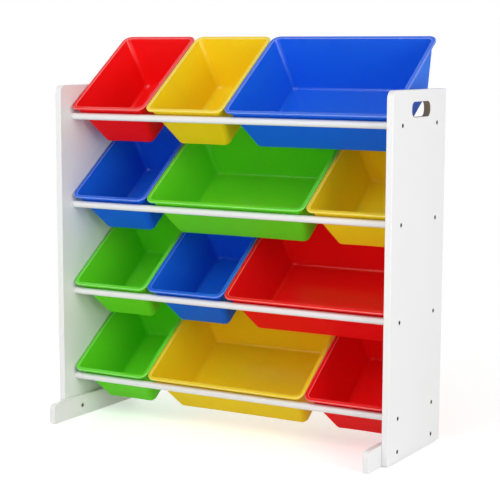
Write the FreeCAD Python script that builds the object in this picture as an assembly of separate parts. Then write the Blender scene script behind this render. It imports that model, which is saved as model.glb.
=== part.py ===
"""Toy storage organiser: two side panels on foot boards, eight rods and twelve leaning bins.

Frame: X to the right, Y towards the rear, Z up. The origin is on the floor under the middle
of the overall footprint. All lengths are in millimetres and all angles in degrees.

The bins lean back to front. Each one rests with its floor on a rear rod and with its front
wall against a front rod, so its place follows from the rods, the lean and the bin's profile.
"""
import FreeCAD, Part

import math
import os

# Boards
panel_thickness = 15.0
panel_floor_gap = 3.0
panel_top_margin = 73.0
panel_front_corner_radius = 18.0
panel_rear_corner_radius = 6.0
board_edge_radius = 1.5
board_corner_radius = 3.0

foot_thickness = 15.0
foot_height = 48.0
foot_projection = 60.0
foot_corner_radius = 16.0

slot_length = 95.0
slot_height = 33.0
slot_corner_radius = 14.0
slot_top_margin = 25.0
slot_setback = 93.0

# Rods
rod_diameter = 16.0
rod_end_chamfer = 0.8
rod_spacing = 178.0
rod_setback = 48.0
bottom_row_height = 97.5
row_pitch = 206.5

# Bins
small_bin_width = 205.5
large_bin_width = 411.0
bin_length = 286.0
bin_height = 120.5
bin_wall = 2.5
bin_lean = 36.0
bin_gap = 2.0
front_draft = 10.5
rear_draft = 16.5
side_draft = 13.5
wall_corner_radius = 14.0
floor_fillet_radius = 7.0
lip_width = 6.5
lip_depth = 4.5
lip_thickness = 2.0
lip_edge_radius = 1.2
seat_clearance = 0.3

# Screws through the panels
screw_head_diameter = 9.0
screw_head_height = 3.0
screw_head_recess = 0.5
screw_shank_diameter = 4.0
rod_screw_grip = 40.0
screw_clearance = 0.3
hex_socket_size = 4.0
hex_socket_depth = 1.8
foot_screw_height = 25.0

# Sleeve nuts in the foot boards
nut_flange_diameter = 12.0
nut_flange_height = 1.5
nut_sleeve_diameter = 7.0
nut_sleeve_length = 12.0

# Each row from left to right: the name of a bin and its width
ROWS = (
    {
        "top_row_red_bin": small_bin_width,
        "top_row_yellow_bin": small_bin_width,
        "top_row_large_blue_bin": large_bin_width,
    },
    {
        "second_row_blue_bin": small_bin_width,
        "second_row_large_green_bin": large_bin_width,
        "second_row_yellow_bin": small_bin_width,
    },
    {
        "third_row_green_bin": small_bin_width,
        "third_row_blue_bin": small_bin_width,
        "third_row_large_red_bin": large_bin_width,
    },
    {
        "bottom_row_green_bin": small_bin_width,
        "bottom_row_large_yellow_bin": large_bin_width,
        "bottom_row_red_bin": small_bin_width,
    },
)

# Places that follow from the sizes
row_heights = [bottom_row_height + row_pitch * step for step in reversed(range(len(ROWS)))]
inner_width = sum(ROWS[0].values()) + bin_gap * (len(ROWS[0]) + 1)
inner_half = inner_width / 2
panel_depth = rod_spacing + 2 * rod_setback
panel_top = row_heights[0] + panel_top_margin
rod_radius = rod_diameter / 2
front_rod_y = rod_setback
rear_rod_y = rod_setback + rod_spacing

RIGHT = FreeCAD.Vector(1, 0, 0)


def tangent(angle):
    return math.tan(math.radians(angle))


def vector(x, y, z):
    return FreeCAD.Vector(x, y, z)


def rounded_outline(left, right, low, high, radii, place):
    """The edges of a closed outline of four quarter arcs and four lines, in order.

    radii: the corner radii in the order low left, low right, high right, high left.
    place: turns a pair of outline coordinates into a point in space.
    """
    corners = ((left, low, 180), (right, low, 270), (right, high, 0), (left, high, 90))
    arcs = []
    for (a, b, start), radius in zip(corners, radii):
        centre_a = a + math.copysign(radius, right + left - 2 * a)
        centre_b = b + math.copysign(radius, high + low - 2 * b)
        points = []
        for turn in (0, 45, 90):
            angle = math.radians(start + turn)
            points.append(place(centre_a + radius * math.cos(angle), centre_b + radius * math.sin(angle)))
        arcs.append(Part.Arc(*points))
    edges = []
    for arc, following in zip(arcs, arcs[1:] + arcs[:1]):
        edges.append(arc.toShape())
        edges.append(Part.makeLine(arc.EndPoint, following.StartPoint))
    return edges


def plate(outline, thickness):
    """An outline in a YZ plane, drawn out to the right."""
    return Part.Face(Part.Wire(outline)).extrude(RIGHT * thickness)


def board(outline, thickness):
    """A plate with all its long edges eased."""
    solid = plate(outline, thickness)
    outline_edges = [edge for edge in solid.Edges if edge.BoundBox.XLength < thickness / 2]
    return solid.makeFillet(board_edge_radius, outline_edges)


def bar(radius, start_x, y, z, length):
    """A round bar along X."""
    return Part.makeCylinder(radius, length, vector(start_x, y, z), RIGHT)


# ---------------------------------------------------------------- side panels and feet


def screw_axes():
    """Y and Z of the screws that go into the rods."""
    return [(y, z) for z in row_heights for y in (front_rod_y, rear_rod_y)]


def foot_screw_axes():
    """Y and Z of the screws that hold a foot board to its panel."""
    return [(y, foot_screw_height) for y in (front_rod_y, rear_rod_y)]


def side_panel(side):
    """One side panel with its hand slot and its stepped screw holes; side is -1 or 1."""
    inner_face = side * inner_half
    outer_face = side * (inner_half + panel_thickness)
    left = min(inner_face, outer_face)

    def on_left_face(y, z):
        return vector(left, y, z)

    radii = (board_corner_radius, board_corner_radius, panel_rear_corner_radius, panel_front_corner_radius)
    outline = rounded_outline(0, panel_depth, panel_floor_gap, panel_top, radii, on_left_face)
    panel = board(outline, panel_thickness)

    slot_top = panel_top - slot_top_margin
    slot = rounded_outline(
        slot_setback,
        slot_setback + slot_length,
        slot_top - slot_height,
        slot_top,
        [slot_corner_radius] * 4,
        on_left_face,
    )
    cuts = [plate(slot, panel_thickness)]
    pocket_depth = screw_head_height + screw_head_recess
    pocket_left = min(outer_face, outer_face - side * pocket_depth)
    for y, z in screw_axes() + foot_screw_axes():
        cuts.append(bar(screw_shank_diameter / 2 + screw_clearance, left, y, z, panel_thickness))
        cuts.append(bar(screw_head_diameter / 2 + screw_clearance, pocket_left, y, z, pocket_depth))
    return panel.cut(cuts)


def foot_board(side):
    """One foot board, against the inner face of its panel, reaching out in front of it."""
    inner_face = side * (inner_half - foot_thickness)
    left = min(inner_face, side * inner_half)
    radii = [board_corner_radius] * 3 + [foot_corner_radius]
    outline = rounded_outline(
        -foot_projection, panel_depth, 0, foot_height, radii, lambda y, z: vector(left, y, z)
    )
    foot = board(outline, foot_thickness)

    cuts = []
    for y, z in foot_screw_axes():
        sleeve_left = min(inner_face, inner_face + side * (nut_sleeve_length + screw_clearance))
        sleeve_depth = nut_sleeve_length + screw_clearance
        cuts.append(bar(nut_sleeve_diameter / 2 + screw_clearance, sleeve_left, y, z, sleeve_depth))
        cuts.append(bar(screw_shank_diameter / 2 + screw_clearance, left, y, z, foot_thickness))
    return foot.cut(cuts)


# ---------------------------------------------------------------- rods


def rod(y, z):
    """A round rod between the panels, bored at both ends for its screws."""
    profile = (
        vector(-inner_half, 0, 0),
        vector(-inner_half, rod_radius - rod_end_chamfer, 0),
        vector(-inner_half + rod_end_chamfer, rod_radius, 0),
        vector(inner_half - rod_end_chamfer, rod_radius, 0),
        vector(inner_half, rod_radius - rod_end_chamfer, 0),
        vector(inner_half, 0, 0),
    )
    outline = Part.makePolygon(profile + profile[:1])
    solid = Part.Face(outline).revolve(vector(0, 0, 0), RIGHT, 360)

    bore_radius = screw_shank_diameter / 2 + screw_clearance
    bore_depth = rod_screw_grip + screw_clearance
    bores = [
        bar(bore_radius, -inner_half, 0, 0, bore_depth),
        bar(bore_radius, inner_half - bore_depth, 0, 0, bore_depth),
    ]
    solid = solid.cut(bores)
    solid.translate(vector(0, y, z))
    return solid


# ---------------------------------------------------------------- fasteners


def hexagonal_socket(x, y, z, depth):
    """A six-sided key socket along X."""
    corner_radius = hex_socket_size / 2 / math.cos(math.radians(30))
    points = []
    for angle in range(0, 360, 60):
        turn = math.radians(angle)
        points.append(vector(x, y + corner_radius * math.cos(turn), z + corner_radius * math.sin(turn)))
    return Part.Face(Part.makePolygon(points + points[:1])).extrude(RIGHT * depth)


def panel_screw(side, y, z, shank_length):
    """A socket head screw, sunk in the outer face of a panel."""
    head_outer = side * (inner_half + panel_thickness - screw_head_recess)
    head_inner = head_outer - side * screw_head_height
    tip = head_inner - side * shank_length
    head = bar(screw_head_diameter / 2, min(head_outer, head_inner), y, z, screw_head_height)
    shank = bar(screw_shank_diameter / 2, min(head_inner, tip), y, z, shank_length)
    socket_left = min(head_outer, head_outer - side * hex_socket_depth)
    return head.fuse(shank).cut(hexagonal_socket(socket_left, y, z, hex_socket_depth)).removeSplitter()


def rod_screws(side):
    """The screws that hold the rods to one panel, as separate solids."""
    panel_part = panel_thickness - screw_head_recess - screw_head_height
    return Part.makeCompound(
        [panel_screw(side, y, z, panel_part + rod_screw_grip) for y, z in screw_axes()]
    )


def foot_screws(side):
    """The screws that hold a foot board to one panel, as separate solids."""
    panel_part = panel_thickness - screw_head_recess - screw_head_height
    foot_part = foot_thickness - nut_flange_height
    return Part.makeCompound(
        [panel_screw(side, y, z, panel_part + foot_part) for y, z in foot_screw_axes()]
    )


def foot_nuts(side):
    """The sleeve nuts on the inner face of a foot board, as separate solids."""
    foot_face = side * (inner_half - foot_thickness)
    flange_face = foot_face - side * nut_flange_height
    nuts = []
    for y, z in foot_screw_axes():
        flange_left = min(foot_face, flange_face)
        sleeve_left = min(foot_face, foot_face + side * nut_sleeve_length)
        nut = bar(nut_flange_diameter / 2, flange_left, y, z, nut_flange_height).fuse(
            bar(nut_sleeve_diameter / 2, sleeve_left, y, z, nut_sleeve_length)
        )
        bore = bar(screw_shank_diameter / 2 + screw_clearance, sleeve_left, y, z, nut_sleeve_length)
        nuts.append(nut.cut(bore).removeSplitter())
    return Part.makeCompound(nuts)


# ---------------------------------------------------------------- bins


def quarter_round(depth, outset, radius, steps, depth_sign, outset_sign, start):
    """Points of a quarter round in a bin's wall profile, as pairs of depth and outset.

    The centre is at depth and outset. start is 0 where the round leaves along the wall and
    90 where it leaves along the rim or floor.
    """
    points = []
    for step in range(steps + 1):
        angle = math.radians(abs(start - 90 * step / steps))
        points.append(
            (
                depth + depth_sign * radius * math.sin(angle),
                outset + outset_sign * radius * math.cos(angle),
            )
        )
    return points


def bin_profile():
    """The wall of a bin in section, from the outer floor up, over the lip and down inside.

    Each point is a depth under the rim and an outset from the outer face of the wall.
    """
    inner_floor = bin_height - bin_wall
    inner_fillet = floor_fillet_radius - bin_wall / 2
    fillet_steps = 3
    lip_steps = 2
    points = quarter_round(
        bin_height - floor_fillet_radius, -floor_fillet_radius, floor_fillet_radius, fillet_steps, 1, 1, 90
    )
    points += [
        (lip_thickness, 0),
        (lip_thickness, lip_width - lip_thickness),
        (lip_depth, lip_width - lip_thickness),
        (lip_depth, lip_width),
    ]
    points += quarter_round(lip_edge_radius, lip_width - lip_edge_radius, lip_edge_radius, lip_steps, -1, 1, 0)
    points += quarter_round(lip_edge_radius, lip_edge_radius - bin_wall, lip_edge_radius, lip_steps, -1, -1, 90)
    points += quarter_round(
        inner_floor - inner_fillet, -bin_wall - inner_fillet, inner_fillet, fillet_steps, 1, 1, 0
    )
    return points


def bin_ring(width, depth, outset):
    """The outline of a bin at one depth, with the rim plane as its XY plane.

    The front of the rim is on the X axis and the depth runs down along Z. The walls taper
    from the rim down, and the lip, outside them, hangs square.
    """
    tapered_depth = 0 if outset > 0 else depth
    side = width / 2 - lip_width - tapered_depth * tangent(side_draft) + outset
    front = lip_width + tapered_depth * tangent(front_draft) - outset
    rear = bin_length - lip_width - tapered_depth * tangent(rear_draft) + outset
    radius = wall_corner_radius + outset
    return rounded_outline(-side, side, front, rear, [radius] * 4, lambda x, y: vector(x, y, -depth))


def wall_band(ring, following):
    """The faces between two outlines of a bin, ruled round its corners and flat along its sides."""
    faces = []
    for edge, other in zip(ring, following):
        if isinstance(edge.Curve, Part.Line):
            corners = [vertex.Point for vertex in edge.Vertexes + other.Vertexes[::-1]]
            faces.append(Part.Face(Part.makePolygon(corners + corners[:1])))
        else:
            faces.append(Part.makeRuledSurface(edge, other))
    return faces


def storage_bin(width, centre_x, rod_height):
    """One moulded bin, leaning between the front and rear rods of its row."""
    rings = [bin_ring(width, depth, outset) for depth, outset in bin_profile()]
    faces = [Part.Face(Part.Wire(ring)) for ring in (rings[0], rings[-1])]
    for ring, following in zip(rings, rings[1:]):
        faces += wall_band(ring, following)
    shell = Part.makeShell(faces)
    shell.sewShape()
    solid = Part.makeSolid(shell)

    reach = rod_radius + seat_clearance
    lean = math.radians(bin_lean)
    front_rod_depth = bin_height + reach - rod_spacing * math.sin(lean)
    front_rod_inset = (
        lip_width + front_rod_depth * tangent(front_draft) - reach / math.cos(math.radians(front_draft))
    )
    solid.translate(vector(0, -front_rod_inset, front_rod_depth))
    solid.rotate(vector(0, 0, 0), RIGHT, bin_lean)
    solid.translate(vector(centre_x, front_rod_y, rod_height))
    return solid


def bins():
    """All the bins by name, each row set side by side between the panels."""
    placed = {}
    for row, rod_height in zip(ROWS, row_heights):
        left = -inner_half + bin_gap
        for name, width in row.items():
            placed[name] = storage_bin(width, left + width / 2, rod_height)
            left += width + bin_gap
    return placed


# ---------------------------------------------------------------- the whole organiser


def organiser():
    """Every piece by name, with the panels' front edges at Y = 0."""
    pieces = {}
    for name, side in (("left", -1), ("right", 1)):
        pieces[f"{name}_side_panel"] = side_panel(side)
        pieces[f"{name}_foot_board"] = foot_board(side)
        pieces[f"{name}_rod_screws"] = rod_screws(side)
        pieces[f"{name}_foot_screws"] = foot_screws(side)
        pieces[f"{name}_foot_nuts"] = foot_nuts(side)
    for number, z in enumerate(row_heights, start=1):
        pieces[f"front_rod_{number}"] = rod(front_rod_y, z)
        pieces[f"rear_rod_{number}"] = rod(rear_rod_y, z)
    pieces.update(bins())
    return pieces


def main():
    pieces = organiser()
    extent = Part.makeCompound(list(pieces.values())).optimalBoundingBox(False)
    to_origin = vector(0, -(extent.YMin + extent.YMax) / 2, 0)
    os.makedirs("parts", exist_ok=True)
    for name, shape in pieces.items():
        shape.translate(to_origin)
        shape.exportStep(f"parts/{name}.step")
        print(name, "volume", round(shape.Volume), "solids", len(shape.Solids), "valid", shape.isValid())
    print("size", round(extent.XLength, 2), round(extent.YLength, 2), round(extent.ZLength, 2))
    print("front edge of the panels at Y", round(to_origin.y, 3))


main()
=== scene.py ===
"""Looks of a toy storage organiser: white boards and rods, and leaning plastic bins.

Everything is in metres in the frame of the construction: X to the right, Y towards the rear,
Z up, with the origin on the floor. Sizes of single features are written in millimetres and
turned to metres by MM.
"""

import logging
import math
from dataclasses import dataclass, field
from enum import Enum
from typing import Any, Optional

import bmesh
import bpy
import numpy as np
from mathutils import Matrix, Vector

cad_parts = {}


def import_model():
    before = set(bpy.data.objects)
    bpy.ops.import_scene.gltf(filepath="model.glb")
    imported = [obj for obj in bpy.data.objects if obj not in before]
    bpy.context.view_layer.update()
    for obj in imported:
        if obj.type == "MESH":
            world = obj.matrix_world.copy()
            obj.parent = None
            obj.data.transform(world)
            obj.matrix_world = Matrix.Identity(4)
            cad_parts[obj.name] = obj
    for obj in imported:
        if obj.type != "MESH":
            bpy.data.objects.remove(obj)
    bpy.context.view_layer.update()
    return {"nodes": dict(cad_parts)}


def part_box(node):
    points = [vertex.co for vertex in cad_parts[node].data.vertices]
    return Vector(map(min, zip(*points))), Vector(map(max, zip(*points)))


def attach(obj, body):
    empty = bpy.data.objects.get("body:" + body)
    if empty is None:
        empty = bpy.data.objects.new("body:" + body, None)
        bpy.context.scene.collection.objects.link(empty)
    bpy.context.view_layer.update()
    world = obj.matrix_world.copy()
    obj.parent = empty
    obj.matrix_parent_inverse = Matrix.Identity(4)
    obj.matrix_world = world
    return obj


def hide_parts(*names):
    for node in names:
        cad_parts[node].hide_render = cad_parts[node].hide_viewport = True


Colour = tuple[float, float, float, float]
Point = tuple[float, float, float]

MM = 0.001
WHITE: Colour = (1.0, 1.0, 1.0, 1.0)
# Name of the point attribute that holds the share of painted highlight.
HIGHLIGHT_ATTRIBUTE = "rim_edge"

log = logging.getLogger("organiser")


# ---------------------------------------------------------------- small helpers


def linear(hex_colour: str) -> Colour:
    """An sRGB hex colour as linear values.

    A dark channel is divided by 12.92, and any other follows a power of 2.4.

    Args:
        hex_colour: six hexadecimal digits after a hash.

    Returns:
        Red, green and blue, each from 0 to 1, and an alpha of 1.
    """
    channels = np.array([int(hex_colour[place:place + 2], 16) for place in (1, 3, 5)]) / 255
    flat = np.where(channels <= 0.04045, channels / 12.92, ((channels + 0.055) / 1.055) ** 2.4)
    return (*flat.tolist(), 1.0)


def dimmed(colour: Colour, share: float) -> Colour:
    """A linear colour with its three channels times a share."""
    return (*(value * share for value in colour[:3]), 1.0)


def per_metre(size_mm: float) -> float:
    """How often a size in millimetres fits into a metre, which is a noise pattern's scale."""
    return 1 / (size_mm * MM)


def add_node(
    tree: bpy.types.NodeTree,
    kind: str,
    settings: Optional[dict[str, Any]] = None,
    inputs: Optional[dict[Any, Any]] = None,
) -> bpy.types.Node:
    """Adds one node with its settings, values and links.

    Args:
        tree: the node tree that takes it.
        kind: the node's type name.
        settings: attributes of the node by name.
        inputs: a value or an output socket for each input, by name or number.

    Returns:
        The new node.
    """
    node = tree.nodes.new(kind)
    for name, value in (settings or {}).items():
        setattr(node, name, value)
    for key, value in (inputs or {}).items():
        if isinstance(value, bpy.types.NodeSocket):
            tree.links.new(value, node.inputs[key])
        else:
            node.inputs[key].default_value = value
    return node


def empty_material(name: str) -> bpy.types.Material:
    """Makes a material with nodes and nothing in its tree.

    Args:
        name: the material's name.

    Returns:
        The new material.
    """
    material = bpy.data.materials.new(name)
    material.use_nodes = True
    material.node_tree.nodes.clear()
    return material


def dress_node(node: bpy.types.Object, material: bpy.types.Material) -> None:
    """Puts a material on a construction solid.

    Args:
        node: the solid's object.
        material: its finish.
    """
    if not node.material_slots:
        node.data.materials.append(material)
    for slot in node.material_slots:
        slot.material = material
    log.info("dressed %s with %s", node.name, material.name)


def rod_line(node: str) -> tuple[Vector, float]:
    """The middle point and the radius of a rod that lies along X.

    Args:
        node: the name of its construction solid.

    Returns:
        The middle of the solid's box, and half its height.
    """
    low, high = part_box(node)
    return (low + high) / 2, (high.z - low.z) / 2


def mesh_object(
    name: str, points: np.ndarray, faces: list[list[int]], sharp_angle: float
) -> bpy.types.Object:
    """Makes a smooth closed mesh object at the origin.

    Args:
        name: the object's name.
        points: an array of points, one in each row.
        faces: the point numbers of each face.
        sharp_angle: edges that turn more than this, in degrees, stay sharp.

    Returns:
        The object, linked to the scene, with its faces pointing outwards.
    """
    mesh = bpy.data.meshes.new(name)
    mesh.from_pydata(points.tolist(), [], faces)
    shell = bmesh.new()
    shell.from_mesh(mesh)
    bmesh.ops.recalc_face_normals(shell, faces=shell.faces)
    shell.to_mesh(mesh)
    shell.free()
    mesh.shade_smooth()
    mesh.set_sharp_from_angle(angle=math.radians(sharp_angle))
    thing = bpy.data.objects.new(name, mesh)
    bpy.context.scene.collection.objects.link(thing)
    return thing


def tube_faces(rows: int, columns: int) -> list[list[int]]:
    """Faces of a stack of rings that are joined one to the next and capped at both ends.

    Args:
        rows: the number of rings.
        columns: the number of points in a ring.

    Returns:
        The point numbers of each quad, and of the two caps.
    """
    row, column = np.meshgrid(np.arange(rows - 1), np.arange(columns), indexing="ij")
    following = (column + 1) % columns
    here, beyond = row * columns, (row + 1) * columns
    quads = np.stack(
        (here + column, here + following, beyond + following, beyond + column), axis=-1
    )
    first_cap = np.arange(columns)[::-1]
    last_cap = np.arange(columns) + (rows - 1) * columns
    return quads.reshape(-1, 4).tolist() + [first_cap.tolist(), last_cap.tolist()]


def arc_points(
    centre: tuple[float, float], radius: float, start: float, turn: float, steps: int
) -> np.ndarray:
    """Points of an arc: the centre plus the radius times the cosine and sine of each angle.

    Args:
        centre: the arc's centre.
        radius: its radius.
        start: the angle of its first point, in degrees.
        turn: the angle it turns by, in degrees, negative for clockwise.
        steps: the number of steps.

    Returns:
        An array of points, one in each row.
    """
    angles = np.radians(start + turn * np.linspace(0, 1, steps + 1))
    return np.array(centre) + radius * np.stack((np.cos(angles), np.sin(angles)), axis=-1)


def with_guards(points: np.ndarray, inset: float) -> np.ndarray:
    """Adds a point near both ends of each long stretch, so that it still looks flat when smooth.

    Args:
        points: the corners of a profile, one in each row.
        inset: how far from an end the new point lies; stretches under three times this stay.

    Returns:
        The profile with the new points in their places.
    """
    steps = np.diff(points, axis=0)
    lengths = np.linalg.norm(steps, axis=1)
    long = np.flatnonzero(lengths > 3 * inset)
    shift = steps[long] * (inset / lengths[long])[:, None]
    guards = np.stack((points[long] + shift, points[long + 1] - shift), axis=1)
    return np.insert(points, np.repeat(long + 1, 2), guards.reshape(-1, 2), axis=0)


# ---------------------------------------------------------------- finishes


class BinColour(Enum):
    """Colours of the moulded bins."""

    RED = "#FA1619"
    YELLOW = "#FFDA1E"
    BLUE = "#1A6EE8"
    GREEN = "#6EE228"


class MouldSkin(Enum):
    """The skins that a mould leaves on the plastic, as roughness and specular level.

    The polished core leaves the inside of a bin glossy, and the spark-eroded cavity leaves the
    outside satin, with hardly a reflection at a low angle.
    """

    POLISHED = (0.16, 0.45)
    ERODED = (0.42, 0.05)


@dataclass(frozen=True)
class MouldedPolypropylene:
    """Injection-moulded polypropylene, saturated and translucent, with a painted lip highlight.

    The eye gets an even, strong colour, a little deeper in slow clouds, with a ripple from
    cooling in its reflections. The grain of the skin is drawn coarser than the real one, so
    that it shows at all.
    """

    colour: BinColour
    skin: MouldSkin
    translucency: float = 0.8
    light_reach_mm: float = 4.0
    least_reach: float = 0.3
    # Share of white painted on the lip's two upper edges as a highlight.
    painted_highlight_strength: float = 0.42
    cloud_mm: float = 84.0
    cloud_share: float = 0.93
    cloud_roughness: float = 0.55
    gloss_change: float = 0.06
    ripple_mm: float = 42.0
    ripple_depth_mm: float = 0.12
    ripple_strength: float = 0.5
    grain_mm: float = 1.6
    grain_depth_mm: float = 0.03
    grain_strength: float = 0.25

    def material(self) -> bpy.types.Material:
        """Makes the plastic of one colour and skin.

        Returns:
            The material, whose base colour is mixed towards white by the share of painted
            highlight that each point of the bin holds.
        """
        skin, hue = self.skin.name.lower(), self.colour.name.lower()
        material = empty_material(f"{skin}_moulded_polypropylene_{hue}")
        tree = material.node_tree
        colour = linear(self.colour.value)
        roughness, specular = self.skin.value
        place = add_node(tree, "ShaderNodeTexCoord").outputs["Object"]
        clouds = add_node(
            tree,
            "ShaderNodeTexNoise",
            inputs={
                "Vector": place,
                "Scale": per_metre(self.cloud_mm),
                "Detail": 3.0,
                "Roughness": self.cloud_roughness,
            },
        )
        shade = add_node(
            tree,
            "ShaderNodeMix",
            {"data_type": "RGBA"},
            {0: clouds.outputs["Fac"], 6: colour, 7: dimmed(colour, self.cloud_share)},
        )
        # Painted highlight: the base colour goes towards white on the lip's two upper edges.
        edge = add_node(tree, "ShaderNodeAttribute", {"attribute_name": HIGHLIGHT_ATTRIBUTE})
        highlight_share = add_node(
            tree,
            "ShaderNodeMath",
            {"operation": "MULTIPLY"},
            {0: edge.outputs["Fac"], 1: self.painted_highlight_strength},
        )
        highlighted = add_node(
            tree,
            "ShaderNodeMix",
            {"data_type": "RGBA"},
            {0: highlight_share.outputs[0], 6: shade.outputs[2], 7: WHITE},
        )
        gloss = add_node(
            tree,
            "ShaderNodeMath",
            {"operation": "MULTIPLY_ADD"},
            {0: clouds.outputs["Fac"], 1: self.gloss_change, 2: roughness},
        )
        shader = add_node(
            tree,
            "ShaderNodeBsdfPrincipled",
            inputs={
                "Base Color": highlighted.outputs[2],
                "Roughness": gloss.outputs[0],
                "Specular IOR Level": specular,
                "Subsurface Weight": self.translucency,
                "Subsurface Radius": tuple(
                    self.least_reach + (1 - self.least_reach) * value for value in colour[:3]
                ),
                "Subsurface Scale": self.light_reach_mm * MM,
                "Normal": self.relief(tree, place),
            },
        )
        add_node(tree, "ShaderNodeOutputMaterial", inputs={"Surface": shader.outputs[0]})
        return material

    def relief(
        self, tree: bpy.types.NodeTree, place: bpy.types.NodeSocket
    ) -> bpy.types.NodeSocket:
        """The slow ripple from cooling, with the fine grain of the skin on it.

        Args:
            tree: the material's node tree.
            place: the output that gives the point.

        Returns:
            The output that holds the normal.
        """
        ripple = add_node(
            tree,
            "ShaderNodeTexNoise",
            inputs={"Vector": place, "Scale": per_metre(self.ripple_mm), "Detail": 0.0},
        )
        grain = add_node(
            tree,
            "ShaderNodeTexNoise",
            inputs={"Vector": place, "Scale": per_metre(self.grain_mm), "Detail": 2.0},
        )
        slow_bump = add_node(
            tree,
            "ShaderNodeBump",
            inputs={
                "Strength": self.ripple_strength,
                "Distance": self.ripple_depth_mm * MM,
                "Height": ripple.outputs["Fac"],
            },
        )
        bump = add_node(
            tree,
            "ShaderNodeBump",
            inputs={
                "Strength": self.grain_strength,
                "Distance": self.grain_depth_mm * MM,
                "Height": grain.outputs["Fac"],
                "Normal": slow_bump.outputs["Normal"],
            },
        )
        return bump.outputs["Normal"]


@dataclass(frozen=True)
class PaintedFibreboard:
    """Medium-density fibreboard sprayed satin white; the wall of its hand slot is bare and brown.

    The eye gets an even white with the faint orange peel of sprayed paint, and a matte brown
    in the slot. The fibres there are drawn coarser than the real ones, so that they show.
    """

    paint: str = "#F1F1F1"
    bare: str = "#A58F76"
    roughness: float = 0.42
    bare_roughness: float = 0.9
    orange_peel_mm: float = 2.2
    fibre_mm: float = 1.4
    fibre_share: float = 0.72
    stains_per_metre: float = 3.0
    stain_share: float = 0.965
    relief_mm: float = 0.05
    relief_strength: float = 0.2
    sideways_limit: float = 0.5

    def material(self, slot_low: Vector, slot_high: Vector) -> bpy.types.Material:
        """Makes white paint everywhere, and bare fibres on the hand slot's wall.

        Args:
            slot_low: lowest corner of the box round the hand slot.
            slot_high: highest corner of that box.

        Returns:
            The material that the panels and foot boards share.
        """
        material = empty_material("painted_fibreboard")
        tree = material.node_tree
        place = add_node(tree, "ShaderNodeTexCoord").outputs["Object"]
        peel = add_node(
            tree,
            "ShaderNodeTexNoise",
            inputs={"Vector": place, "Scale": per_metre(self.orange_peel_mm), "Detail": 2.0},
        )
        fibres = add_node(
            tree,
            "ShaderNodeTexNoise",
            inputs={"Vector": place, "Scale": per_metre(self.fibre_mm), "Detail": 4.0},
        )
        stain = add_node(
            tree,
            "ShaderNodeTexNoise",
            inputs={"Vector": place, "Scale": self.stains_per_metre, "Detail": 2.0},
        )
        white, brown = linear(self.paint), linear(self.bare)
        paint = add_node(
            tree,
            "ShaderNodeMix",
            {"data_type": "RGBA"},
            {0: stain.outputs["Fac"], 6: white, 7: dimmed(white, self.stain_share)},
        )
        bare = add_node(
            tree,
            "ShaderNodeMix",
            {"data_type": "RGBA"},
            {0: fibres.outputs["Fac"], 6: brown, 7: dimmed(brown, self.fibre_share)},
        )
        mask = self.slot_mask(tree, place, slot_low, slot_high)
        base = add_node(
            tree,
            "ShaderNodeMix",
            {"data_type": "RGBA"},
            {0: mask, 6: paint.outputs[2], 7: bare.outputs[2]},
        )
        height = add_node(
            tree,
            "ShaderNodeMix",
            {"data_type": "FLOAT"},
            {0: mask, 2: peel.outputs["Fac"], 3: fibres.outputs["Fac"]},
        )
        roughness = add_node(
            tree,
            "ShaderNodeMapRange",
            inputs={"Value": mask, "To Min": self.roughness, "To Max": self.bare_roughness},
        )
        bump = add_node(
            tree,
            "ShaderNodeBump",
            inputs={
                "Strength": self.relief_strength,
                "Distance": self.relief_mm * MM,
                "Height": height.outputs[0],
            },
        )
        shader = add_node(
            tree,
            "ShaderNodeBsdfPrincipled",
            inputs={
                "Base Color": base.outputs[2],
                "Roughness": roughness.outputs["Result"],
                "Normal": bump.outputs["Normal"],
            },
        )
        add_node(tree, "ShaderNodeOutputMaterial", inputs={"Surface": shader.outputs[0]})
        return material

    def slot_mask(
        self, tree: bpy.types.NodeTree, place: bpy.types.NodeSocket, low: Vector, high: Vector
    ) -> bpy.types.NodeSocket:
        """One on the slot's wall and zero elsewhere: the point lies in the box and faces Y or Z.

        Args:
            tree: the material's node tree.
            place: the output that gives the point.
            low: lowest corner of the box.
            high: highest corner of the box.

        Returns:
            The output that holds the mask.
        """
        point = add_node(tree, "ShaderNodeSeparateXYZ", inputs={0: place})
        normal = add_node(tree, "ShaderNodeNewGeometry").outputs["Normal"]
        facing = add_node(tree, "ShaderNodeSeparateXYZ", inputs={0: normal})
        sideways = add_node(
            tree, "ShaderNodeMath", {"operation": "ABSOLUTE"}, {0: facing.outputs["X"]}
        )
        tests = (
            (sideways.outputs[0], "LESS_THAN", self.sideways_limit),
            (point.outputs["Y"], "GREATER_THAN", low.y),
            (point.outputs["Y"], "LESS_THAN", high.y),
            (point.outputs["Z"], "GREATER_THAN", low.z),
            (point.outputs["Z"], "LESS_THAN", high.z),
        )
        passed = [
            add_node(tree, "ShaderNodeMath", {"operation": test}, {0: value, 1: limit}).outputs[0]
            for value, test, limit in tests
        ]
        mask = passed[0]
        for other in passed[1:]:
            mask = add_node(
                tree, "ShaderNodeMath", {"operation": "MULTIPLY"}, {0: mask, 1: other}
            ).outputs[0]
        return mask


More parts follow.
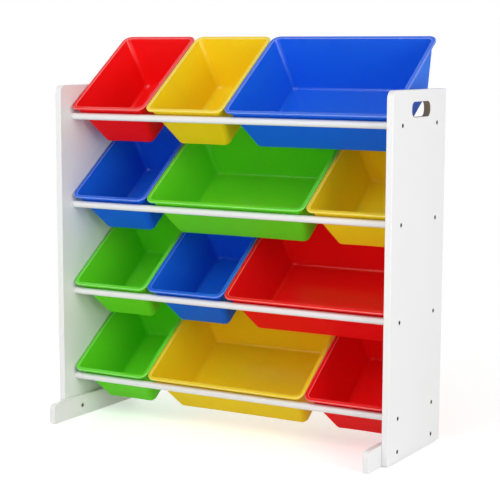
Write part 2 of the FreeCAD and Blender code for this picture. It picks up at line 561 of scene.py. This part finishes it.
@dataclass(frozen=True)
class EnamelledRod:
    """Turned beech with a thick coat of white enamel: smooth, with a soft line of light along it."""

    enamel: str = "#EDEDED"
    roughness: float = 0.3
    run_mm: float = 14.0
    run_squeeze: float = 0.12
    run_share: float = 0.98
    relief_mm: float = 0.02
    relief_strength: float = 0.2

    def material(self) -> bpy.types.Material:
        """Makes the enamel, with its runs drawn out along the rod.

        Returns:
            The material that all the rods share.
        """
        material = empty_material("white_enamel")
        tree = material.node_tree
        place = add_node(tree, "ShaderNodeTexCoord").outputs["Object"]
        stretched = add_node(
            tree,
            "ShaderNodeMapping",
            inputs={"Vector": place, "Scale": (self.run_squeeze, 1.0, 1.0)},
        )
        runs = add_node(
            tree,
            "ShaderNodeTexNoise",
            inputs={
                "Vector": stretched.outputs[0],
                "Scale": per_metre(self.run_mm),
                "Detail": 2.0,
            },
        )
        white = linear(self.enamel)
        shade = add_node(
            tree,
            "ShaderNodeMix",
            {"data_type": "RGBA"},
            {0: runs.outputs["Fac"], 6: white, 7: dimmed(white, self.run_share)},
        )
        bump = add_node(
            tree,
            "ShaderNodeBump",
            inputs={
                "Strength": self.relief_strength,
                "Distance": self.relief_mm * MM,
                "Height": runs.outputs["Fac"],
            },
        )
        shader = add_node(
            tree,
            "ShaderNodeBsdfPrincipled",
            inputs={
                "Base Color": shade.outputs[2],
                "Roughness": self.roughness,
                "Normal": bump.outputs["Normal"],
            },
        )
        add_node(tree, "ShaderNodeOutputMaterial", inputs={"Surface": shader.outputs[0]})
        return material


@dataclass(frozen=True)
class BlackenedSteel:
    """Screws with a dark oxide: near black, half matte, with small worn flecks.

    The flecks are drawn coarser than real ones, so that they show on so small a head.
    """

    oxide: str = "#2B2623"
    worn: str = "#5C544F"
    metallic: float = 0.9
    roughness: float = 0.48
    fleck_mm: float = 0.9
    wear_start: float = 0.5
    wear_end: float = 0.8
    relief_mm: float = 0.02
    relief_strength: float = 0.3

    def material(self) -> bpy.types.Material:
        """Makes the oxide, with flecks where it is thin.

        Returns:
            The material that all the screws share.
        """
        material = empty_material("black_oxide_steel")
        tree = material.node_tree
        place = add_node(tree, "ShaderNodeTexCoord").outputs["Object"]
        flecks = add_node(
            tree,
            "ShaderNodeTexNoise",
            inputs={"Vector": place, "Scale": per_metre(self.fleck_mm), "Detail": 3.0},
        )
        wear = add_node(
            tree,
            "ShaderNodeMapRange",
            inputs={
                "Value": flecks.outputs["Fac"],
                "From Min": self.wear_start,
                "From Max": self.wear_end,
            },
        )
        shade = add_node(
            tree,
            "ShaderNodeMix",
            {"data_type": "RGBA"},
            {0: wear.outputs["Result"], 6: linear(self.oxide), 7: linear(self.worn)},
        )
        bump = add_node(
            tree,
            "ShaderNodeBump",
            inputs={
                "Strength": self.relief_strength,
                "Distance": self.relief_mm * MM,
                "Height": flecks.outputs["Fac"],
            },
        )
        shader = add_node(
            tree,
            "ShaderNodeBsdfPrincipled",
            inputs={
                "Base Color": shade.outputs[2],
                "Metallic": self.metallic,
                "Roughness": self.roughness,
                "Normal": bump.outputs["Normal"],
            },
        )
        add_node(tree, "ShaderNodeOutputMaterial", inputs={"Surface": shader.outputs[0]})
        return material


@dataclass(frozen=True)
class PlatedNut:
    """A sleeve nut with a pale nickel flange, grey with handling, round a countersunk mouth.

    The mouth is painted near black as shade. The marks of handling are drawn coarser than real
    ones, so that they show.
    """

    nickel: str = "#D2D0CA"
    # Near black, painted in the mouth as the shade of its recess.
    painted_mouth_shade: str = "#15130F"
    mouth_radius_mm: float = 3.9
    mouth_edge_mm: float = 0.4
    roughness: float = 0.36
    gloss_change: float = 0.1
    mark_mm: float = 0.6
    relief_mm: float = 0.01
    relief_strength: float = 0.2

    def material(self, axes: tuple[tuple[float, float], ...]) -> bpy.types.Material:
        """Makes the plating, with painted shade within the mouth's radius of each nut's axis.

        Args:
            axes: Y and Z of each nut's axis, in metres.

        Returns:
            The material that all the nuts share.
        """
        material = empty_material("nickel_plated_steel")
        tree = material.node_tree
        place = add_node(tree, "ShaderNodeTexCoord").outputs["Object"]
        flange = self.flange_mask(tree, place, axes)
        marks = add_node(
            tree,
            "ShaderNodeTexNoise",
            inputs={"Vector": place, "Scale": per_metre(self.mark_mm), "Detail": 3.0},
        )
        # Painted shade: near black within the mouth, plating outside it.
        shade = add_node(
            tree,
            "ShaderNodeMix",
            {"data_type": "RGBA"},
            {0: flange, 6: linear(self.painted_mouth_shade), 7: linear(self.nickel)},
        )
        bump = add_node(
            tree,
            "ShaderNodeBump",
            inputs={
                "Strength": self.relief_strength,
                "Distance": self.relief_mm * MM,
                "Height": marks.outputs["Fac"],
            },
        )
        gloss = add_node(
            tree,
            "ShaderNodeMath",
            {"operation": "MULTIPLY_ADD"},
            {0: marks.outputs["Fac"], 1: self.gloss_change, 2: self.roughness},
        )
        shader = add_node(
            tree,
            "ShaderNodeBsdfPrincipled",
            inputs={
                "Base Color": shade.outputs[2],
                "Metallic": flange,
                "Roughness": gloss.outputs[0],
                "Normal": bump.outputs["Normal"],
            },
        )
        add_node(tree, "ShaderNodeOutputMaterial", inputs={"Surface": shader.outputs[0]})
        return material

    def flange_mask(
        self,
        tree: bpy.types.NodeTree,
        place: bpy.types.NodeSocket,
        axes: tuple[tuple[float, float], ...],
    ) -> bpy.types.NodeSocket:
        """Zero in a mouth and one outside it, from the distance to the nearest axis.

        Args:
            tree: the material's node tree.
            place: the output that gives the point.
            axes: Y and Z of each nut's axis, in metres.

        Returns:
            The output that holds the mask.
        """
        across = add_node(
            tree, "ShaderNodeVectorMath", {"operation": "MULTIPLY"}, {0: place, 1: (0.0, 1.0, 1.0)}
        ).outputs["Vector"]
        distances = [
            add_node(
                tree, "ShaderNodeVectorMath", {"operation": "DISTANCE"}, {0: across, 1: (0.0, *axis)}
            ).outputs["Value"]
            for axis in axes
        ]
        nearest = distances[0]
        for distance in distances[1:]:
            nearest = add_node(
                tree, "ShaderNodeMath", {"operation": "MINIMUM"}, {0: nearest, 1: distance}
            ).outputs[0]
        return add_node(
            tree,
            "ShaderNodeMapRange",
            inputs={
                "Value": nearest,
                "From Min": self.mouth_radius_mm * MM,
                "From Max": (self.mouth_radius_mm + self.mouth_edge_mm) * MM,
            },
        ).outputs["Result"]


# ---------------------------------------------------------------- bins


@dataclass(frozen=True)
class BinMould:
    """The mould that both sizes of bin share. Lengths are in millimetres and angles in degrees.

    The lip ends in a short skirt, and its root is where it leaves the outer wall. The guards
    are points close to the ends of flat stretches, so that these still look flat when smooth.
    """

    length: float = 286.0
    height: float = 120.5
    wall: float = 2.5
    front_draft: float = 10.5
    rear_draft: float = 16.5
    side_draft: float = 13.5
    corner_radius: float = 14.0
    floor_radius: float = 7.0
    lip_width: float = 6.5
    lip_depth: float = 4.5
    lip_thickness: float = 2.0
    lip_edge_radius: float = 1.5
    inner_edge_radius: float = 1.2
    root_radius: float = 0.8
    lean: float = 36.0
    seat_clearance: float = 0.3
    wall_bow: float = 0.7
    cap_inset: float = 2.0
    profile_guard: float = 0.9
    side_guard_share: float = 0.012
    arc_steps: int = 8
    inner_edge_steps: int = 5
    skirt_steps: int = 6
    root_steps: int = 3
    corner_steps: int = 14
    side_steps: int = 12

    def profile(self) -> np.ndarray:
        """The wall in section, from the outer floor up, over the lip and down to the inner floor.

        Straight stretches join arcs at the floor, at the root and the skirt of the lip, and at
        its two upper edges.

        Returns:
            Rows of depth under the rim and outset from the outer face of the wall.
        """
        edge, inner, root = self.lip_edge_radius, self.inner_edge_radius, self.root_radius
        floor, wall, lip = self.floor_radius, self.wall, self.lip_width
        skirt = self.lip_thickness / 2
        under_lip = self.lip_thickness + root
        fillet = floor - wall / 2
        inner_floor = self.height - wall
        parts = [
            [(self.height, -floor - self.cap_inset)],
            arc_points((self.height - floor, -floor), floor, 0, 90, self.arc_steps),
            arc_points((under_lip, root), root, 270, -90, self.root_steps),
            arc_points((under_lip, lip - 2 * skirt - root), root, 180, -90, self.root_steps),
            arc_points((self.lip_depth - skirt, lip - skirt), skirt, -90, 180, self.skirt_steps),
            arc_points((edge, lip - edge), edge, 90, 90, self.arc_steps),
            arc_points((inner, inner - wall), inner, 180, 90, self.inner_edge_steps),
            arc_points((inner_floor - fillet, -wall - fillet), fillet, 90, -90, self.arc_steps),
            [(inner_floor, -wall - fillet - self.cap_inset)],
        ]
        corners = np.concatenate([np.asarray(part, float) for part in parts])
        return with_guards(corners, self.profile_guard)

    def painted_highlight(self) -> np.ndarray:
        """The painted highlight on each ring: one at the middle of the lip's two upper edges.

        Returns:
            For each point of the profile, one minus its distance from the nearer of the two
            edges over the edge's radius, and at least zero.
        """
        depth, outset = self.profile().T
        edges = ((self.lip_width, self.lip_edge_radius), (-self.wall, self.inner_edge_radius))
        light = [1 - np.hypot(depth, outset - place) / radius for place, radius in edges]
        return np.max(light, axis=0).clip(0, 1)

    def skins(self, columns: int) -> np.ndarray:
        """The skin of each face: one outside, from the floor up to the lip, and zero elsewhere.

        Args:
            columns: the number of points in a ring.

        Returns:
            A number for each quad of the rings, and for the outer and the inner cap.
        """
        outset = self.profile()[:, 1]
        outer_rows = int(np.argmax(outset > 0))
        rows = (np.arange(len(outset) - 1) < outer_rows).astype(int)
        return np.concatenate((np.repeat(rows, columns), (1, 0)))

    def rings(self, width: float) -> np.ndarray:
        """The bin's whole surface as one ring for each point of the profile.

        Each ring is a rounded rectangle: four quarter circles about centres that move in with
        the tangent of the draft, joined by sides that bow inwards. The bow is a parabola, four
        times the share of the way along the side times the rest, and grows with the depth.

        Args:
            width: the bin's width over the lip, in millimetres.

        Returns:
            An array of rings by points by three: X across, Y from the front of the rim, and Z
            up from the rim, in millimetres.
        """
        depth, outset = self.profile().T
        tapered = np.where(outset > 0, 0, depth)
        drafts = np.tan(np.radians((self.side_draft, self.front_draft, self.rear_draft)))
        side = width / 2 - self.lip_width - tapered * drafts[0] + outset
        front = self.lip_width + tapered * drafts[1] - outset
        rear = self.length - self.lip_width - tapered * drafts[2] + outset
        radius = self.corner_radius + outset

        right, left = side - radius, radius - side
        near, far = front + radius, rear - radius
        corners = ((right, far), (left, far), (left, near), (right, near))
        centres = np.stack([np.stack(corner, axis=-1) for corner in corners], axis=1)
        starts = np.radians((0, 90, 180, 270))[:, None]
        angles = starts + np.linspace(0, math.pi / 2, self.corner_steps + 1)[None, :]
        directions = np.stack((np.cos(angles), np.sin(angles)), axis=-1)
        arcs = centres[:, :, None, :] + radius[:, None, None, None] * directions[None]

        guard = self.side_guard_share
        between = np.linspace(0, 1, self.side_steps + 1)[1:-1]
        along = np.concatenate(([guard], between, [1 - guard]))[:, None]
        leaving = arcs[:, :, -1, None, :]
        arriving = np.roll(arcs[:, :, 0, :], -1, axis=1)[:, :, None, :]
        inwards = np.array(((0, -1), (1, 0), (0, 1), (-1, 0)), float)[None, :, None, :]
        parabola = 4 * along * (1 - along)
        bow = self.wall_bow * parabola * (tapered / self.height)[:, None, None, None]
        sides = leaving + (arriving - leaving) * along + inwards * bow

        flat = np.concatenate((arcs, sides), axis=2).reshape(len(depth), -1, 2)
        heights = np.broadcast_to(-depth[:, None, None], flat.shape[:2] + (1,))
        return np.concatenate((flat, heights), axis=-1)

    def seat(self, rod_radius: float, rod_spacing: float) -> tuple[float, float]:
        """Where the front rod's axis lies in the bin's own section.

        The floor lies on the rear rod and the front wall against the front rod, each at the
        reach, a radius and the clearance, from the rod's axis. So the depth is the height and
        the reach, less the rods' distance times the sine of the lean.

        Args:
            rod_radius: the rods' radius, in millimetres.
            rod_spacing: the level distance between the two rods' axes, in millimetres.

        Returns:
            Its distance behind the front of the rim, and its depth under the rim.
        """
        reach = rod_radius + self.seat_clearance
        lean = math.radians(self.lean)
        draft = math.radians(self.front_draft)
        depth = self.height + reach - rod_spacing * math.sin(lean)
        return self.lip_width + depth * math.tan(draft) - reach / math.cos(draft), depth


@dataclass
class StorageBin:
    """One moulded bin on its two rods."""

    node: str
    colour: BinColour
    front_rod: str
    rear_rod: str
    mould: BinMould = field(default_factory=BinMould)
    sharp_angle: float = 50.0

    def build(self, skins: list[bpy.types.Material]) -> None:
        """Makes the bin in place of its construction solid.

        The mould's rings are moved so that the front rod's axis is their origin, turned about
        it by the lean, and brought to the rod.

        Args:
            skins: the plastic of its colour, with the inner and then the outer skin.
        """
        low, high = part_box(self.node)
        front, radius = rod_line(self.front_rod)
        rear, _ = rod_line(self.rear_rod)
        inset, depth = self.mould.seat(radius / MM, (rear.y - front.y) / MM)
        rings = self.mould.rings((high.x - low.x) / MM)
        count, columns = rings.shape[:2]
        local = (rings - np.array((0, inset, -depth))).reshape(-1, 3) * MM
        lean = math.radians(self.mould.lean)
        cosine, sine = math.cos(lean), math.sin(lean)
        turn = np.array(((1, 0, 0), (0, cosine, -sine), (0, sine, cosine)))
        points = local @ turn.T + np.array(((low.x + high.x) / 2, front.y, front.z))

        faces = tube_faces(count, columns)
        piece = mesh_object(f"moulded_{self.node}", points, faces, self.sharp_angle)
        # Painted highlight: the share of white that each ring's points take at the lip's edges.
        edge = piece.data.attributes.new(HIGHLIGHT_ATTRIBUTE, "FLOAT", "POINT")
        edge.data.foreach_set("value", np.repeat(self.mould.painted_highlight(), columns))
        for skin in skins:
            piece.data.materials.append(skin)
        piece.data.polygons.foreach_set("material_index", self.mould.skins(columns))
        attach(piece, self.node)
        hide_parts(self.node)
        log.info("bin %s: %d faces", piece.name, len(faces))


@dataclass
class BinRows:
    """All the bins, row by row from the top and from left to right."""

    rows: tuple[tuple[tuple[str, BinColour], ...], ...] = (
        (
            ("top_row_red_bin", BinColour.RED),
            ("top_row_yellow_bin", BinColour.YELLOW),
            ("top_row_large_blue_bin", BinColour.BLUE),
        ),
        (
            ("second_row_blue_bin", BinColour.BLUE),
            ("second_row_large_green_bin", BinColour.GREEN),
            ("second_row_yellow_bin", BinColour.YELLOW),
        ),
        (
            ("third_row_green_bin", BinColour.GREEN),
            ("third_row_blue_bin", BinColour.BLUE),
            ("third_row_large_red_bin", BinColour.RED),
        ),
        (
            ("bottom_row_green_bin", BinColour.GREEN),
            ("bottom_row_large_yellow_bin", BinColour.YELLOW),
            ("bottom_row_red_bin", BinColour.RED),
        ),
    )

    def build(self) -> None:
        """Makes every bin in the plastic of its colour."""
        plastics = {
            colour: [MouldedPolypropylene(colour, skin).material() for skin in MouldSkin]
            for colour in BinColour
        }
        for number, row in enumerate(self.rows, start=1):
            rods = (f"front_rod_{number}", f"rear_rod_{number}")
            for node, colour in row:
                StorageBin(node, colour, *rods).build(plastics[colour])


# ---------------------------------------------------------------- rods, boards and fasteners


@dataclass
class Rods:
    """The round rods that carry the bins. Lengths are in millimetres and angles in degrees."""

    rows: int = 4
    end_radius: float = 1.2
    end_steps: int = 5
    guard: float = 2.0
    sides: int = 64
    sharp_angle: float = 60.0

    def build(self) -> None:
        """Makes the front and the rear rod of each row in white enamel."""
        enamel = EnamelledRod().material()
        for number in range(1, self.rows + 1):
            for place in ("front", "rear"):
                self.build_rod(f"{place}_rod_{number}", enamel)

    def build_rod(self, node: str, enamel: bpy.types.Material) -> None:
        """Makes one rod with rounded ends, in place of its construction solid.

        The profile is turned about the axis: every point keeps its X, and its Y and Z are its
        radius times the cosine and sine of the angle.

        Args:
            node: the name of the construction solid.
            enamel: its finish.
        """
        low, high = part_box(node)
        axis, radius = rod_line(node)
        end = self.end_radius * MM
        left = arc_points((low.x + end, radius - end), end, 180, -90, self.end_steps)
        right = arc_points((high.x - end, radius - end), end, 90, -90, self.end_steps)
        profile = with_guards(np.concatenate((left, right)), self.guard * MM)
        angles = np.linspace(0, 2 * math.pi, self.sides, endpoint=False)
        x = np.broadcast_to(profile[:, :1], (len(profile), self.sides))
        y = axis.y + profile[:, 1:] * np.cos(angles)
        z = axis.z + profile[:, 1:] * np.sin(angles)
        points = np.stack((x, y, z), axis=-1).reshape(-1, 3)
        faces = tube_faces(len(profile), self.sides)
        piece = mesh_object(f"enamelled_{node}", points, faces, self.sharp_angle)
        piece.data.materials.append(enamel)
        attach(piece, "frame")
        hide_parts(node)
        log.info("rod %s: %d faces", piece.name, len(faces))


@dataclass
class Boards:
    """The side panels and foot boards, which keep their construction solids.

    The hand slot's place is in millimetres from the front and the top of a panel, and the
    margin is the room that the box round it leaves.
    """

    nodes: dict[str, bpy.types.Object]
    slot_setback: float = 93.0
    slot_length: float = 95.0
    slot_height: float = 33.0
    slot_top_margin: float = 25.0
    margin: float = 1.0

    def dress(self) -> None:
        """Paints the boards, and leaves the hand slots' walls bare."""
        low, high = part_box("left_side_panel")
        margin = self.margin * MM
        front = low.y + self.slot_setback * MM
        rear = front + self.slot_length * MM
        top = high.z - self.slot_top_margin * MM
        bottom = top - self.slot_height * MM
        slot_low = Vector((low.x, front - margin, bottom - margin))
        slot_high = Vector((high.x, rear + margin, top + margin))
        paint = PaintedFibreboard().material(slot_low, slot_high)
        for side in ("left", "right"):
            for board in ("side_panel", "foot_board"):
                dress_node(self.nodes[f"{side}_{board}"], paint)


@dataclass
class Fasteners:
    """The dark screws and plated sleeve nuts, which keep their construction solids."""

    nodes: dict[str, bpy.types.Object]

    def dress(self) -> None:
        """Gives every screw its dark oxide and every nut its plating."""
        oxide = BlackenedSteel().material()
        low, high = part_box("left_foot_nuts")
        radius = (high.z - low.z) / 2
        axes = ((low.y + radius, low.z + radius), (high.y - radius, low.z + radius))
        plating = PlatedNut().material(axes)
        for side in ("left", "right"):
            for group in ("rod_screws", "foot_screws"):
                dress_node(self.nodes[f"{side}_{group}"], oxide)
            dress_node(self.nodes[f"{side}_foot_nuts"], plating)


# ---------------------------------------------------------------- studio


@dataclass(frozen=True)
class SoftBox:
    """One large soft lamp, aimed at a point. Its power is in watts."""

    name: str
    place: Point
    target: Point
    size: float
    power: float

    def build(self) -> None:
        """Adds the lamp, turned so that it faces its target."""
        lamp = bpy.data.lights.new(self.name, "AREA")
        lamp.shape = "SQUARE"
        lamp.size = self.size
        lamp.energy = self.power
        thing = bpy.data.objects.new(self.name, lamp)
        thing.location = self.place
        aim = Vector(self.target) - Vector(self.place)
        thing.rotation_euler = aim.to_track_quat("-Z", "Y").to_euler()
        bpy.context.scene.collection.objects.link(thing)


def seen_directly(tree: bpy.types.NodeTree) -> bpy.types.NodeSocket:
    """One for rays from the camera, a mirror or glass, and zero for rays that carry light.

    Args:
        tree: the node tree that uses it.

    Returns:
        The output that holds the value.
    """
    path = add_node(tree, "ShaderNodeLightPath")
    seen = path.outputs["Is Camera Ray"]
    for ray in ("Is Glossy Ray", "Is Transmission Ray"):
        seen = add_node(
            tree, "ShaderNodeMath", {"operation": "MAXIMUM"}, {0: seen, 1: path.outputs[ray]}
        ).outputs[0]
    return seen


@dataclass
class Studio:
    """The pale floor, the soft light and the camera at the photograph's angle.

    Places and distances are in metres, and angles in degrees. The camera's focal length and
    principal point are in pixels of the square picture, counted from its upper left corner.
    """

    lamps: tuple[SoftBox, ...] = (
        SoftBox("key_light", (-0.4, -2.3, 2.3), (0.0, 0.0, 0.4), 1.3, 25.0),
        SoftBox("front_light", (-0.5, -3.1, 0.7), (0.0, 0.0, 0.25), 1.2, 8.0),
        SoftBox("fill_light", (2.9, -1.0, 1.1), (0.2, 0.0, 0.35), 1.6, 33.0),
        SoftBox("rear_light", (-2.4, 2.2, 1.3), (0.0, 0.0, 0.4), 1.8, 16.0),
    )
    ambient: float = 0.46
    floor_colour: str = "#FAFAFA"
    floor_roughness: float = 0.6
    floor_specular: float = 0.25
    floor_half: float = 8.0
    floor_lift: float = 0.4
    fade_start: float = 0.5
    fade_end: float = 1.4
    camera_place: Point = (1.7030, -2.8824, 0.8656)
    camera_yaw: float = 30.0
    camera_pitch: float = 8.2
    camera_roll: float = 0.2
    focal_pixels: float = 1484.1
    picture_pixels: float = 500.0
    principal_point: tuple[float, float] = (255.4, 266.4)
    sensor_mm: float = 36.0

    def build(self) -> None:
        """Sets up the whole studio."""
        self.build_world()
        self.build_floor()
        for lamp in self.lamps:
            lamp.build()
        self.build_camera()
        bpy.context.scene.view_settings.view_transform = "Standard"

    def build_world(self) -> None:
        """A white surround that lights the object more softly than it looks."""
        world = bpy.data.worlds.new("white_surround")
        bpy.context.scene.world = world
        world.use_nodes = True
        tree = world.node_tree
        tree.nodes.clear()
        strength = add_node(
            tree,
            "ShaderNodeMapRange",
            inputs={"Value": seen_directly(tree), "To Min": self.ambient, "To Max": 1.0},
        )
        background = add_node(
            tree,
            "ShaderNodeBackground",
            inputs={"Color": WHITE, "Strength": strength.outputs["Result"]},
        )
        add_node(tree, "ShaderNodeOutputWorld", inputs={"Surface": background.outputs[0]})

    def build_floor(self) -> None:
        """A pale flat floor, in the material that floor_material gives."""
        half = self.floor_half
        corners = [(-half, -half, 0.0), (half, -half, 0.0), (half, half, 0.0), (-half, half, 0.0)]
        mesh = bpy.data.meshes.new("studio_floor")
        mesh.from_pydata(corners, [], [[0, 1, 2, 3]])
        mesh.materials.append(self.floor_material())
        floor = bpy.data.objects.new("studio_floor", mesh)
        bpy.context.scene.collection.objects.link(floor)

    def floor_material(self) -> bpy.types.Material:
        """White paper that keeps the shadow near the object and turns white further out.

        Returns:
            The material: paper with a lift of its own where it is seen directly, and plain
            white from the end of the fade on. Rays that carry light meet only the paper.
        """
        material = empty_material("white_paper_floor")
        tree = material.node_tree
        place = add_node(tree, "ShaderNodeTexCoord").outputs["Object"]
        distance = add_node(tree, "ShaderNodeVectorMath", {"operation": "LENGTH"}, {0: place})
        fade = add_node(
            tree,
            "ShaderNodeMapRange",
            {"interpolation_type": "SMOOTHSTEP"},
            {
                "Value": distance.outputs["Value"],
                "From Min": self.fade_start,
                "From Max": self.fade_end,
            },
        )
        seen = seen_directly(tree)
        factor = add_node(
            tree, "ShaderNodeMath", {"operation": "MULTIPLY"}, {0: fade.outputs["Result"], 1: seen}
        )
        lift = add_node(
            tree, "ShaderNodeMath", {"operation": "MULTIPLY"}, {0: seen, 1: self.floor_lift}
        )
        paper = add_node(
            tree,
            "ShaderNodeBsdfPrincipled",
            inputs={
                "Base Color": linear(self.floor_colour),
                "Roughness": self.floor_roughness,
                "Specular IOR Level": self.floor_specular,
            },
        )
        lifted = add_node(
            tree, "ShaderNodeEmission", inputs={"Color": WHITE, "Strength": lift.outputs[0]}
        )
        near = add_node(
            tree, "ShaderNodeAddShader", inputs={0: paper.outputs[0], 1: lifted.outputs[0]}
        )
        white = add_node(tree, "ShaderNodeEmission", inputs={"Color": WHITE, "Strength": 1.0})
        surface = add_node(
            tree,
            "ShaderNodeMixShader",
            inputs={0: factor.outputs[0], 1: near.outputs[0], 2: white.outputs[0]},
        )
        add_node(tree, "ShaderNodeOutputMaterial", inputs={"Surface": surface.outputs[0]})
        return material

    def build_camera(self) -> None:
        """The camera, turned by its roll, then raised from looking down, then turned by its yaw."""
        camera = bpy.data.cameras.new("camera")
        camera.sensor_width = self.sensor_mm
        camera.lens = self.focal_pixels / self.picture_pixels * self.sensor_mm
        half = self.picture_pixels / 2
        camera.shift_x = (half - self.principal_point[0]) / self.picture_pixels
        camera.shift_y = (self.principal_point[1] - half) / self.picture_pixels
        thing = bpy.data.objects.new("camera", camera)
        turn = (
            Matrix.Rotation(math.radians(self.camera_yaw), 4, "Z")
            @ Matrix.Rotation(math.radians(90 - self.camera_pitch), 4, "X")
            @ Matrix.Rotation(math.radians(self.camera_roll), 4, "Z")
        )
        thing.matrix_world = Matrix.Translation(self.camera_place) @ turn
        bpy.context.scene.collection.objects.link(thing)
        bpy.context.scene.camera = thing


def main() -> None:
    """Builds the dressed organiser and its studio."""
    logging.basicConfig(level=logging.INFO, format="%(name)s: %(message)s")
    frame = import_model()
    BinRows().build()
    Rods().build()
    Boards(frame["nodes"]).dress()
    Fasteners(frame["nodes"]).dress()
    Studio().build()


if __name__ == "__main__":
    main()
